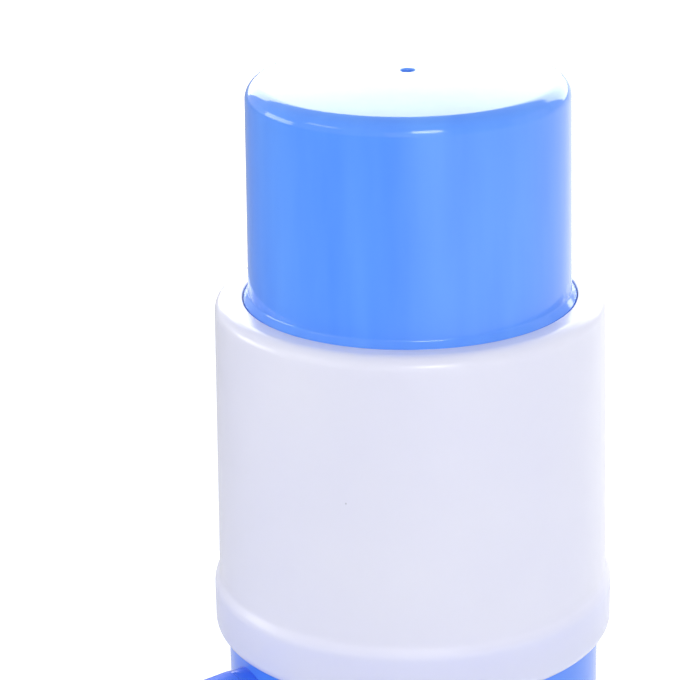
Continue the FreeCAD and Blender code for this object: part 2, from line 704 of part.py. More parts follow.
def cap_outside(extra):
    """Outside of the cap down to its flange, drawn inwards by extra all over, as a full solid."""
    rounding = CAP_EDGE_ROUNDING - extra
    edge = cap_edge_z - extra
    radius = cap_top_radius - extra
    flat_radius = radius - rounding
    bottom = flange_top_z - CAP_FLANGE_THICKNESS - CAP_GUIDE_LENGTH
    if extra == 0.0:
        bottom = flange_top_z
    # A shallow dome has fallen by a quarter of its rise at half its radius
    half_way_z = edge + CAP_DOME_RISE - CAP_DOME_RISE / 4
    return turned(
        (0, bottom),
        (CAP_RIM_RADIUS - extra, bottom),
        (CAP_RIM_RADIUS - extra, rim_z - HOUSING_TOP_WALL),
        (radius, edge - rounding),
        rounded_corner(flat_radius, edge - rounding, rounding),
        (flat_radius / 2, half_way_z, 0, edge + CAP_DOME_RISE),
    )


def make_push_cap():
    """Press cap with its flange, its guide skirt, the vent and the screw bosses."""
    outside = cap_outside(0.0)
    guide_low = flange_top_z - CAP_FLANGE_THICKNESS - CAP_GUIDE_LENGTH
    guide = ring(flange_radius - CAP_WALL, flange_radius, guide_low, flange_top_z)
    flange = ring(
        CAP_RIM_RADIUS - CAP_WALL, flange_radius, flange_top_z - CAP_FLANGE_THICKNESS, flange_top_z
    )
    shell = outside.cut(cap_outside(CAP_WALL)).fuse([flange, guide])
    boss_radius = SCREW_RADIUS + CAP_BOSS_WALL
    for x, y in around(SCREW_COUNT, cap_screw_circle, SCREW_FIRST_ANGLE):
        boss = disc(boss_radius, top_plate_top_z, cap_edge_z, x, y).common(outside)
        shell = shell.fuse(boss)
    for x, y in around(SCREW_COUNT, cap_screw_circle, SCREW_FIRST_ANGLE):
        hole_top = top_plate_top_z + CAP_SCREW_BITE + SCREW_CLEARANCE
        shell = shell.cut(disc(screw_hole_radius, top_plate_top_z - OVERRUN, hole_top, x, y))
    shell = shell.cut(disc(VENT_RADIUS, cap_edge_z - 2 * CAP_WALL, cap_edge_z + 2 * CAP_DOME_RISE))
    return shell.removeSplitter()


def make_housing():
    """White housing: shoulder with the cap's opening, tall wall, and the lip that snaps on the base."""
    shoulder_z = rim_z - SHOULDER_ROUNDING
    top_under_z = rim_z - HOUSING_TOP_WALL
    inner_seat_radius = collar_bore_radius + COLLAR_WALL / 2
    lip_foot_radius = lip_bore_radius + LIP_FOOT_WIDTH
    lip_arc_top_z = lip_bottom_z + LIP_ROUNDING
    lip_mid, lip_foot = tangent_arc(
        lip_radius, lip_arc_top_z, lip_radius - lip_foot_radius, LIP_ROUNDING
    )
    opening_turn = OPENING_EDGE_ROUNDING * ROUND_INSET
    groove_radius = lip_bore_radius + SNAP_DEPTH
    groove_top_z = snap_top_z + HOUSING_CLEARANCE
    groove_low_z = snap_low_z - HOUSING_CLEARANCE
    return turned(
        (lip_bore_radius, lip_bottom_z),
        lip_foot,
        lip_mid + (lip_radius, lip_arc_top_z),
        (lip_radius, lip_step_z - LIP_STEP_ROUNDING),
        rounded_corner(lip_radius - LIP_STEP_ROUNDING, lip_step_z - LIP_STEP_ROUNDING, LIP_STEP_ROUNDING),
        (housing_foot_radius, lip_step_z),
        (housing_top_radius, shoulder_z),
        rounded_corner(housing_top_radius - SHOULDER_ROUNDING, shoulder_z, SHOULDER_ROUNDING),
        (opening_radius + OPENING_EDGE_ROUNDING, rim_z),
        (
            opening_radius + opening_turn,
            rim_z - opening_turn,
            opening_radius,
            rim_z - OPENING_EDGE_ROUNDING,
        ),
        (opening_radius, top_under_z),
        (housing_bore_top, top_under_z),
        (housing_bore_foot, lip_step_z),
        (inner_seat_radius, housing_seat_z + COLLAR_WALL),
        (inner_seat_radius, housing_seat_z),
        (lip_bore_radius, housing_seat_z),
        (lip_bore_radius, groove_top_z),
        (groove_radius, groove_top_z),
        (groove_radius, groove_low_z),
        (lip_bore_radius, groove_low_z),
    )


os.makedirs("parts", exist_ok=True)

# Body base
save(make_base_body(), "base_body")
save(make_housing(), "housing")
save(make_neck_gasket(), "neck_gasket")
save(make_deck_plate(), "deck_plate")
save(make_deck_seal(), "deck_seal")
save(make_valve_pin(deck_z, deck_top_z), "outlet_valve_pin")
save(make_pin_clip(deck_top_z), "outlet_pin_clip")
save(make_bellows_clamp_ring(), "bellows_clamp_ring")
save(make_deck_screws(), "deck_screws")
save(make_bellows(), "bellows")
save(make_spout(), "spout")
save(make_spout_oring(), "spout_oring")

# Body outlet_flap
save(make_flap(deck_z), "outlet_flap")

# Body cap
save(make_push_cap(), "push_cap")
save(make_top_plate(), "top_plate")
save(make_top_ring(), "top_ring")
save(make_cap_screws(), "cap_screws")
save(make_valve_pin(top_plate_z, top_plate_top_z), "intake_valve_pin")
save(make_pin_clip(top_plate_top_z), "intake_pin_clip")

# Body intake_flap
save(make_flap(top_plate_z), "intake_flap")

# Bodies collet and clamp_ring
save(make_collet(), "collet")
save(make_clamp_ring(), "clamp_ring")
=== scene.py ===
import logging
import math
from collections.abc import Callable
from dataclasses import dataclass
from enum import Enum

import bmesh
import bpy
from mathutils import Matrix, Vector


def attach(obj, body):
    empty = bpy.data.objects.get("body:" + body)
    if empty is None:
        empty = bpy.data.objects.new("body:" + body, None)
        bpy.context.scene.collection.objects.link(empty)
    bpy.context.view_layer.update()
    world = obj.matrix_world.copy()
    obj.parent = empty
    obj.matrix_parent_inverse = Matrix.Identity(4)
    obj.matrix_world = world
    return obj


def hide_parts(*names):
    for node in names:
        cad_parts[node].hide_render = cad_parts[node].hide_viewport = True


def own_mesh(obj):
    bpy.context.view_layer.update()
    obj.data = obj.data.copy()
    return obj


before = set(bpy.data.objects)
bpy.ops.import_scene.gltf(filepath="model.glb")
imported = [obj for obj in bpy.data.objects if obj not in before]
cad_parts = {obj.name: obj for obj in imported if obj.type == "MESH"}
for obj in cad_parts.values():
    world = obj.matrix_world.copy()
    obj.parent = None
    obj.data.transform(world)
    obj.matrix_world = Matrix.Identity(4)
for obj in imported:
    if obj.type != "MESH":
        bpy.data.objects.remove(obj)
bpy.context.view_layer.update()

logging.basicConfig(level=logging.INFO, format="%(name)s: %(message)s")
LOG = logging.getLogger("jug_pump")

MM = 0.001
WHITE = "FFFFFF"

# The most of an edge that one fillet may take, so that two never meet on it
FILLET_SHARE = 0.48

# Edges shorter than this, in mm, and bends flatter than this, in radians, get no fillet
SHORTEST_EDGE = 1e-6
FLATTEST_BEND = 0.01

# How far past a fillet a flat wall gets one more ring, so that its shading stays flat, in mm
SUPPORT = 0.12

# Edges that turn by more than this stay sharp in the shading
SHARP_ANGLE = math.radians(32)

# Vertices closer than this are merged, in metres
WELD = 1e-7

# The values that most of a noise texture lies between
NOISE_LOW = 0.3
NOISE_HIGH = 0.7

Outline = list[tuple[float, float]]
AxisFrame = tuple[Vector, Vector, Vector]
Material = bpy.types.Material
Mesh = bpy.types.Mesh
Tree = bpy.types.NodeTree

# What feeds an input: a socket, or a node, which stands for its first output in use
Source = bpy.types.NodeSocket | bpy.types.Node


def linear(hex_colour: str) -> tuple[float, float, float, float]:
    """Turns an sRGB hex colour into linear light.

    Args:
        hex_colour: Six hex digits.

    Returns:
        Red, green, blue and an alpha of one.
    """
    channels = []
    for level in bytes.fromhex(hex_colour):
        value = level / 255
        channels.append(value / 12.92 if value <= 0.04045 else ((value + 0.055) / 1.055) ** 2.4)
    return (channels[0], channels[1], channels[2], 1.0)


def fill_inputs(tree: Tree, node: bpy.types.Node, inputs: dict) -> None:
    """Sets or links a node's inputs.

    Args:
        tree: The node's tree.
        node: The node.
        inputs: Values, or sources to link from, by the input's name or place.
    """
    for name, value in inputs.items():
        if isinstance(value, bpy.types.Node):
            value = next(output for output in value.outputs if output.enabled)
        if isinstance(value, bpy.types.NodeSocket):
            tree.links.new(value, node.inputs[name])
        else:
            node.inputs[name].default_value = value


def add_node(tree: Tree, kind: str, inputs: dict | None = None, **settings: str) -> bpy.types.Node:
    """Adds one node with its settings and its inputs.

    Args:
        tree: The node tree that gets the node.
        kind: Blender's name for the kind of node.
        inputs: Values, or sources to link from, by the input's name or place.
        settings: Attributes of the node by name.

    Returns:
        The new node.
    """
    made = tree.nodes.new(kind)
    for name, value in settings.items():
        setattr(made, name, value)
    fill_inputs(tree, made, inputs or {})
    return made


class Body(Enum):
    """The bodies that the scene's own pieces ride on."""

    BASE = "base"
    CAP = "cap"
    CLAMP_RING = "clamp_ring"


class Slot(Enum):
    """The record's material slots."""

    BLUE = "blue_plastic"
    WHITE = "white_plastic"
    INNER = "inner_plastic"
    BELLOWS = "bellows_plastic"
    SEAL = "seal_rubber"
    FLAP = "flap_rubber"
    STEEL = "screw_steel"


@dataclass(frozen=True)
class MouldedPlastic:
    """A moulded plastic skin: even colour, reflections softened by a fine ripple, a few specks."""

    name: str
    colour: str
    shade: str
    roughness: float
    roughness_spread: float
    mottle_mm: float
    ripple_mm: float
    ripple_depth_mm: float
    milkiness: float
    milk_depth_mm: float
    ior: float = 1.5
    specular: float = 0.5
    mottle_detail: float = 3.0
    ripple_detail: float = 2.0

    # How many times longer the mottling runs along the mould's pull than across it
    pull: float = 1.0

    # Painted show-through shade: the tint that darkens and blues the colour below a height,
    # standing in for another piece showing through from behind, and that height
    show_through_shade: str = ""
    show_through_top_mm: float = 0.0
    show_through_blend_mm: float = 2.5

    # Painted shade on a round boss that is moulded in, standing in for the shade under the
    # housing's lip: its colour, its axis along -X, its radius and its root
    boss: str = ""
    boss_z_mm: float = 0.0
    boss_radius_mm: float = 0.0
    boss_root_mm: float = 0.0

    # Dust specks: their size, colour, cover and even core, and the cells that hold one each
    speck_mm: float = 0.0
    speck_colour: str = "5A6680"
    speck_cover: float = 0.35
    speck_core: float = 0.5
    speck_spacing_mm: float = 13.0

    def build(self) -> Material:
        """Makes the material, with every pattern in real millimetres on object coordinates.

        Returns:
            The material.
        """
        material = bpy.data.materials.new(self.name)
        material.use_nodes = True
        tree = material.node_tree
        place = add_node(tree, "ShaderNodeTexCoord").outputs["Object"]
        pulled = {"Vector": place, "Scale": (1.0, 1.0, 1 / self.pull)}
        drawn = add_node(tree, "ShaderNodeMapping", pulled)
        grain = {"Vector": drawn, "Scale": 1 / (self.mottle_mm * MM), "Detail": self.mottle_detail}
        mottle = add_node(tree, "ShaderNodeTexNoise", grain)
        painted = add_node(tree, "ShaderNodeValToRGB", {"Fac": mottle})
        dark, bright = painted.color_ramp.elements
        dark.position, dark.color = NOISE_LOW, linear(self.shade)
        bright.position, bright.color = NOISE_HIGH, linear(self.colour)
        for cover, tint, blend in self._layers(tree, place):
            mix = {"Fac": cover, "Color1": painted, "Color2": linear(tint)}
            painted = add_node(tree, "ShaderNodeMixRGB", mix, blend_type=blend)
        spread = {
            "Value": mottle, "From Min": NOISE_LOW, "From Max": NOISE_HIGH,
            "To Min": self.roughness - self.roughness_spread,
            "To Max": self.roughness + self.roughness_spread,
        }
        gloss = add_node(tree, "ShaderNodeMapRange", spread)
        wave = {"Vector": place, "Scale": 1 / (self.ripple_mm * MM), "Detail": self.ripple_detail}
        ripple = add_node(tree, "ShaderNodeTexNoise", wave)
        relief = {"Height": ripple, "Strength": 1.0, "Distance": self.ripple_depth_mm * MM}
        skin = {
            "Base Color": painted, "Roughness": gloss,
            "Normal": add_node(tree, "ShaderNodeBump", relief), "IOR": self.ior,
            "Specular IOR Level": self.specular, "Subsurface Weight": self.milkiness,
            "Subsurface Radius": (1.0, 1.0, 1.0), "Subsurface Scale": self.milk_depth_mm * MM,
        }
        fill_inputs(tree, tree.nodes["Principled BSDF"], skin)
        return material

    def _layers(self, tree: Tree, place: Source) -> list[tuple[Source, str, str]]:
        """What lies over the plain colour: painted shade where the piece behind shows through,
        painted shade on a boss, dust.

        Args:
            tree: The material's node tree.
            place: Object coordinates.

        Returns:
            For each layer its cover, its colour and how it blends.
        """
        layers = []
        if self.show_through_shade:
            # Painted shade: below the given height the colour is multiplied by the tint, for the
            # piece behind showing through
            blend = {
                "Value": add_node(tree, "ShaderNodeSeparateXYZ", {"Vector": place}).outputs["Z"],
                "From Min": (self.show_through_top_mm - self.show_through_blend_mm) * MM,
                "From Max": self.show_through_top_mm * MM, "To Min": 1.0, "To Max": 0.0,
            }
            show_through_mask = add_node(tree, "ShaderNodeMapRange", blend, interpolation_type="SMOOTHSTEP")
            layers.append((show_through_mask, self.show_through_shade, "MULTIPLY"))
        if self.boss:
            # Painted shade: a round patch on the boss and just round it, in the spout's shaded blue
            axis = {0: place, 1: (0.0, 1.0, 1.0), 2: (0.0, 0.0, -self.boss_z_mm * MM)}
            off_axis = add_node(tree, "ShaderNodeVectorMath", axis, operation="MULTIPLY_ADD")
            reach = add_node(tree, "ShaderNodeVectorMath", {0: off_axis}, operation="LENGTH")
            disc = {0: reach, 1: self.boss_radius_mm * MM}
            near = add_node(tree, "ShaderNodeMath", disc, operation="LESS_THAN")
            apart = add_node(tree, "ShaderNodeSeparateXYZ", {"Vector": place})
            front = {0: apart.outputs["X"], 1: -self.boss_root_mm * MM}
            outside = add_node(tree, "ShaderNodeMath", front, operation="LESS_THAN")
            boss_shade_mask = add_node(tree, "ShaderNodeMath", {0: near, 1: outside}, operation="MULTIPLY")
            layers.append((boss_shade_mask, self.boss, "MIX"))
        if self.speck_mm > 0:
            grid = {"Vector": place, "Scale": 1 / (self.speck_spacing_mm * MM)}
            reach = self.speck_mm / 2 / self.speck_spacing_mm
            fade = {
                "Value": add_node(tree, "ShaderNodeTexVoronoi", grid),
                "From Min": reach * self.speck_core, "From Max": reach, "To Min": self.speck_cover,
                "To Max": 0.0,
            }
            dust = add_node(tree, "ShaderNodeMapRange", fade)
            layers.append((dust, self.speck_colour, "MIX"))
        return layers


@dataclass(frozen=True)
class TurnedSteel:
    """Stainless steel as it comes off the heading machine: bright, with faint marks all over."""

    name: str
    colour: str
    roughness: float
    mark_mm: float
    mark_depth_mm: float
    mark_detail: float = 4.0

    # The shares of the roughness where the marks are smoothest and roughest
    smoothest: float = 0.7
    roughest: float = 1.4

    def build(self) -> Material:
        """Makes the material.

        Returns:
            The material.
        """
        material = bpy.data.materials.new(self.name)
        material.use_nodes = True
        tree = material.node_tree
        place = add_node(tree, "ShaderNodeTexCoord").outputs["Object"]
        grain = {"Vector": place, "Scale": 1 / (self.mark_mm * MM), "Detail": self.mark_detail}
        marks = add_node(tree, "ShaderNodeTexNoise", grain)
        spread = {
            "Value": marks, "To Min": self.roughness * self.smoothest,
            "To Max": self.roughness * self.roughest,
        }
        relief = {"Height": marks, "Strength": 1.0, "Distance": self.mark_depth_mm * MM}
        skin = {
            "Base Color": linear(self.colour), "Metallic": 1.0,
            "Roughness": add_node(tree, "ShaderNodeMapRange", spread),
            "Normal": add_node(tree, "ShaderNodeBump", relief),
        }
        fill_inputs(tree, tree.nodes["Principled BSDF"], skin)
        return material


# Glossy blue ABS, injection moulded and polished: clear reflections, very little ripple
# Its mottle runs upright into faint streaks: partly mould flow, partly painted reflection of the
# streaky surroundings on the cap's wall
BLUE_ABS = MouldedPlastic(
    name="moulded_abs_light_blue", colour="5F9EFF", shade="5292FC", roughness=0.1,
    roughness_spread=0.02, mottle_mm=11.0, pull=7.0, ripple_mm=9.0, ripple_depth_mm=0.012,
    milkiness=0.08, milk_depth_mm=1.2, speck_mm=0.45,
)

# The same ABS in the slightly deeper blue of the base, with painted shade on the boss and just
# round it in the spout's shaded blue, for the shade under the housing's lip
BASE_ABS = MouldedPlastic(
    name="moulded_abs_middle_blue", colour="5390FA", shade="4D8AF5", roughness=0.14,
    roughness_spread=0.02, mottle_mm=20.0, ripple_mm=8.0, ripple_depth_mm=0.012, milkiness=0.06,
    milk_depth_mm=1.1, boss="4679F1", boss_z_mm=33.5, boss_radius_mm=10.0, boss_root_mm=30.0,
)

# The same ABS painted a deeper blue as painted shade, for the shade under the housing's lip, from a
# mould left half matt: wide, dull highlights
SHADED_SPOUT_ABS = MouldedPlastic(
    name="moulded_abs_deep_blue", colour="4A7DF4", shade="4375EE", roughness=0.5,
    roughness_spread=0.05, mottle_mm=30.0, ripple_mm=7.0, ripple_depth_mm=0.012, milkiness=0.05,
    milk_depth_mm=1.0, specular=0.2,
)

# Milky polypropylene: light goes a few millimetres in, so that edges look soft and a little blue
# Below the step it carries painted show-through shade, a darker, bluer band for the blue collar
# behind the lip
MILKY_PP = MouldedPlastic(
    name="moulded_polypropylene_milky_white", colour="E6E7FF", shade="E2E3FE", roughness=0.24,
    roughness_spread=0.03, mottle_mm=40.0, ripple_mm=11.0, ripple_depth_mm=0.02, milkiness=0.6,
    milk_depth_mm=3.5, speck_mm=0.5, show_through_shade="F3F5F8", show_through_top_mm=58.8,
)

# Natural polypropylene of the inner plates and rings: off-white and half matt
NATURAL_PP = MouldedPlastic(
    name="moulded_polypropylene_natural", colour="E9EBEE", shade="E2E5EA", roughness=0.42,
    roughness_spread=0.05, mottle_mm=18.0, ripple_mm=1.2, ripple_depth_mm=0.01, milkiness=0.2,
    milk_depth_mm=1.5,
)

# Blow-moulded polyethylene of the bellows: soft, half see-through, waxy
BELLOWS_PE = MouldedPlastic(
    name="blow_moulded_polyethylene_bellows", colour="D6E0F2", shade="CBD7EC", roughness=0.38,
    roughness_spread=0.06, mottle_mm=12.0, ripple_mm=2.5, ripple_depth_mm=0.03, milkiness=0.4,
    milk_depth_mm=1.6,
)

# White silicone rubber of the seals: matt, with a fine dry grain
SEAL_SILICONE = MouldedPlastic(
    name="silicone_rubber_white", colour="DDDFE1", shade="D3D6D9", roughness=0.62,
    roughness_spread=0.06, mottle_mm=8.0, ripple_mm=0.5, ripple_depth_mm=0.012, milkiness=0.15,
    milk_depth_mm=0.8, ior=1.41,
)

# Grey silicone rubber of the flaps, cut from sheet: flat and dull
FLAP_SILICONE = MouldedPlastic(
    name="silicone_rubber_grey", colour="BFC4CC", shade="B3B9C2", roughness=0.58,
    roughness_spread=0.06, mottle_mm=6.0, ripple_mm=0.4, ripple_depth_mm=0.01, milkiness=0.1,
    milk_depth_mm=0.5, ior=1.41,
)

# Bright stainless steel of the screws: sharp glints, faintly scratched
SCREW_STEEL = TurnedSteel(
    name="stainless_steel_headed", colour="C9CBCF", roughness=0.28, mark_mm=0.4, mark_depth_mm=0.006
)


@dataclass(frozen=True)
class Corner:
    """A corner of an outline in mm: how far out of the axis, where along it, and its fillet."""

    out: float
    along: float
    fillet: float = 0.0
    steps: int = 6


def filleted(corners: list[Corner]) -> Outline:
    """Rounds the corners of a closed outline.

    Args:
        corners: The outline's corners in order, each with its own fillet.

    Returns:
        The outline's points as (out, along) pairs, with support points beside each fillet.
    """
    points: Outline = []
    for index, corner in enumerate(corners):
        here = Vector((corner.out, corner.along))
        before = corners[index - 1]
        after = corners[(index + 1) % len(corners)]
        back = Vector((before.out, before.along)) - here
        ahead = Vector((after.out, after.along)) - here
        plain = corner.fillet <= 0 or min(back.length, ahead.length) < SHORTEST_EDGE
        if plain or back.angle(ahead) > math.pi - FLATTEST_BEND:
            points.append((here.x, here.y))
            continue
        half_angle = back.angle(ahead) / 2
        room = FILLET_SHARE * min(back.length, ahead.length)
        cut = min(corner.fillet / math.tan(half_angle), room)
        radius = cut * math.tan(half_angle)
        back_way = back.normalized()
        ahead_way = ahead.normalized()
        centre = here + (back_way + ahead_way).normalized() * (radius / math.sin(half_angle))
        start = here + back_way * cut - centre
        turn = start.angle_signed(here + ahead_way * cut - centre)
        turns = [-turn * step / corner.steps for step in range(corner.steps + 1)]
        arc = [Matrix.Rotation(angle, 2) @ start + centre for angle in turns]
        if cut + SUPPORT < room:
            arc.insert(0, here + back_way * (cut + SUPPORT))
            arc.append(here + ahead_way * (cut + SUPPORT))
        points += [(spot.x, spot.y) for spot in arc]
    return points


def divided(outline: Outline, longest: float) -> Outline:
    """Divides the long edges of a closed outline.

    Args:
        outline: The outline's points.
        longest: The longest edge that may stay, in mm.

    Returns:
        The outline with more points on its long edges.
    """
    points: Outline = []
    for index, (out, along) in enumerate(outline):
        next_out, next_along = outline[(index + 1) % len(outline)]
        pieces = max(1, math.ceil(math.hypot(next_out - out, next_along - along) / longest))
        for step in range(pieces):
            share = step / pieces
            points.append((out + (next_out - out) * share, along + (next_along - along) * share))
    return points


def meshed(name: str, rings: list[list[Vector]], closed: bool, capped: bool = False) -> Mesh:
    """Joins rings of points into a closed mesh, with its faces outwards and smooth shading.

    Args:
        name: The mesh's name.
        rings: The rings' points in mm, as many in each.
        closed: Whether the last ring joins the first.
        capped: Whether the first and the last ring are filled.

    Returns:
        The mesh, in metres.
    """
    build = bmesh.new()
    loops = [[build.verts.new(spot * MM) for spot in ring] for ring in rings]
    for loop, after in zip(loops, loops[1:] + loops[:1] if closed else loops[1:]):
        for place in range(len(loop)):
            beside = (place + 1) % len(loop)
            build.faces.new((loop[place], loop[beside], after[beside], after[place]))
    if capped:
        build.faces.new(loops[0])
        build.faces.new(loops[-1])
    bmesh.ops.remove_doubles(build, verts=build.verts[:], dist=WELD)
    bmesh.ops.recalc_face_normals(build, faces=build.faces[:])
    mesh = bpy.data.meshes.new(name)
    build.to_mesh(mesh)
    build.free()
    mesh.shade_smooth()
    mesh.set_sharp_from_angle(angle=SHARP_ANGLE)
    return mesh


def upright(along: float) -> AxisFrame:
    """The pump's own axis at a height: the centre there, and the two ways out of it."""
    return Vector((0, 0, along)), Vector((1, 0, 0)), Vector((0, 1, 0))


def swept(
    name: str, outline: Outline, segments: int, frame_at: Callable[[float], AxisFrame] = upright,
    closed: bool = True,
) -> Mesh:
    """Carries an outline round an axis, straight or bent.

    Args:
        name: The mesh's name.
        outline: Points as (out, along) pairs in mm.
        segments: Faces round the axis.
        frame_at: Gives the centre and the two ways out for a place along the axis.
        closed: Whether the last point joins the first. An open outline ends on the axis.

    Returns:
        A closed mesh in metres.
    """
    turns = [2 * math.pi * index / segments for index in range(segments)]
    rings = []
    for out, along in outline:
        centre, first, second = frame_at(along)
        ways = [first * math.cos(turn) + second * math.sin(turn) for turn in turns]
        rings.append([centre + way * out for way in ways])
    return meshed(name, rings, closed)


def linked(name: str, data: bpy.types.ID) -> bpy.types.Object:
    """Makes an object and puts it in the scene.

    Args:
        name: The object's name.
        data: Its mesh, camera or light.

    Returns:
        The object.
    """
    made = bpy.data.objects.new(name, data)
    bpy.context.scene.collection.objects.link(made)
    return made


def placed(
    mesh: Mesh, name: str, material: Material, body: Body,
    stands_for: tuple[str, ...] = (),
) -> bpy.types.Object:
    """Makes a mesh a finished piece of the pump.

    Args:
        mesh: The mesh, in place and in metres.
        name: The piece's name.
        material: Its finish.
        body: The body that it rides on.
        stands_for: The nodes that it replaces.

    Returns:
        The piece, at the origin and unturned.
    """
    piece = linked(name, mesh)
    mesh.materials.clear()
    mesh.materials.append(material)
    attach(piece, body.value)
    if stands_for:
        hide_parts(*stands_for)
    LOG.info("%s: %d faces on %s", name, len(mesh.polygons), body.value)
    return piece


class CopiesRoundAxis:
    """A node tree that sets copies of a prototype evenly round the pump's axis."""

    def __init__(self) -> None:
        """Builds the tree, with a named input for each size."""
        tree = bpy.data.node_groups.new("copies_round_axis", "GeometryNodeTree")
        self.tree = tree
        self.inputs: dict[str, str] = {}
        for name, kind in (
            ("Prototype", "NodeSocketObject"),
            ("Count", "NodeSocketInt"),
            ("Circle radius", "NodeSocketFloat"),
            ("First angle", "NodeSocketFloat"),
            ("Material", "NodeSocketMaterial"),
        ):
            socket = tree.interface.new_socket(name=name, in_out="INPUT", socket_type=kind)
            self.inputs[name] = socket.identifier
        made = "NodeSocketGeometry"
        tree.interface.new_socket(name="Geometry", in_out="OUTPUT", socket_type=made)
        given = add_node(tree, "NodeGroupInput").outputs
        info = add_node(tree, "GeometryNodeObjectInfo", {"Object": given["Prototype"]})
        offset = add_node(tree, "ShaderNodeCombineXYZ", {"X": given["Circle radius"]})
        shift = {"Geometry": info.outputs["Geometry"], "Translation": offset}
        moved = add_node(tree, "GeometryNodeTransform", shift)
        line = {"Count": given["Count"], "Offset": (0.0, 0.0, 0.0)}
        centres = add_node(tree, "GeometryNodeMeshLine", line)
        index = add_node(tree, "GeometryNodeInputIndex")
        shares = {0: 2 * math.pi, 1: given["Count"]}
        step = add_node(tree, "ShaderNodeMath", shares, operation="DIVIDE")
        bearing = {0: index, 1: step, 2: given["First angle"]}
        angle = add_node(tree, "ShaderNodeMath", bearing, operation="MULTIPLY_ADD")
        turn = add_node(tree, "ShaderNodeCombineXYZ", {"Z": angle})
        spread = {
            "Points": centres, "Instance": moved, "Rotation": turn,
        }
        copies = add_node(tree, "GeometryNodeInstanceOnPoints", spread)
        real = add_node(tree, "GeometryNodeRealizeInstances", {"Geometry": copies})
        finish = {"Geometry": real, "Material": given["Material"]}
        painted = add_node(tree, "GeometryNodeSetMaterial", finish)
        add_node(tree, "NodeGroupOutput", {"Geometry": painted})

    def mesh(
        self, name: str, prototype: Mesh, count: int, circle_mm: float, first_degrees: float,
        material: Material,
    ) -> Mesh:
        """Runs the tree and gives the copies as one plain mesh.

        Args:
            name: The mesh's name.
            prototype: One copy, standing on the pump's axis at its own height.
            count: How many copies.
            circle_mm: The radius of their circle.
            first_degrees: Where the first one stands.
            material: Their finish.

        Returns:
            A plain mesh in place.
        """
        pattern = linked(name + "_prototype", prototype)
        holder = linked(name + "_holder", bpy.data.meshes.new(name + "_empty"))
        modifier = holder.modifiers.new("copies", "NODES")
        modifier.node_group = self.tree
        values = {
            "Prototype": pattern, "Count": count, "Circle radius": circle_mm * MM,
            "First angle": math.radians(first_degrees), "Material": material,
        }
        for label, value in values.items():
            modifier[self.inputs[label]] = value
        graph = bpy.context.evaluated_depsgraph_get()
        made = bpy.data.meshes.new_from_object(holder.evaluated_get(graph))
        made.name = name
        holder.modifiers.clear()
        bpy.data.objects.remove(holder)
        bpy.data.objects.remove(pattern)
        return made


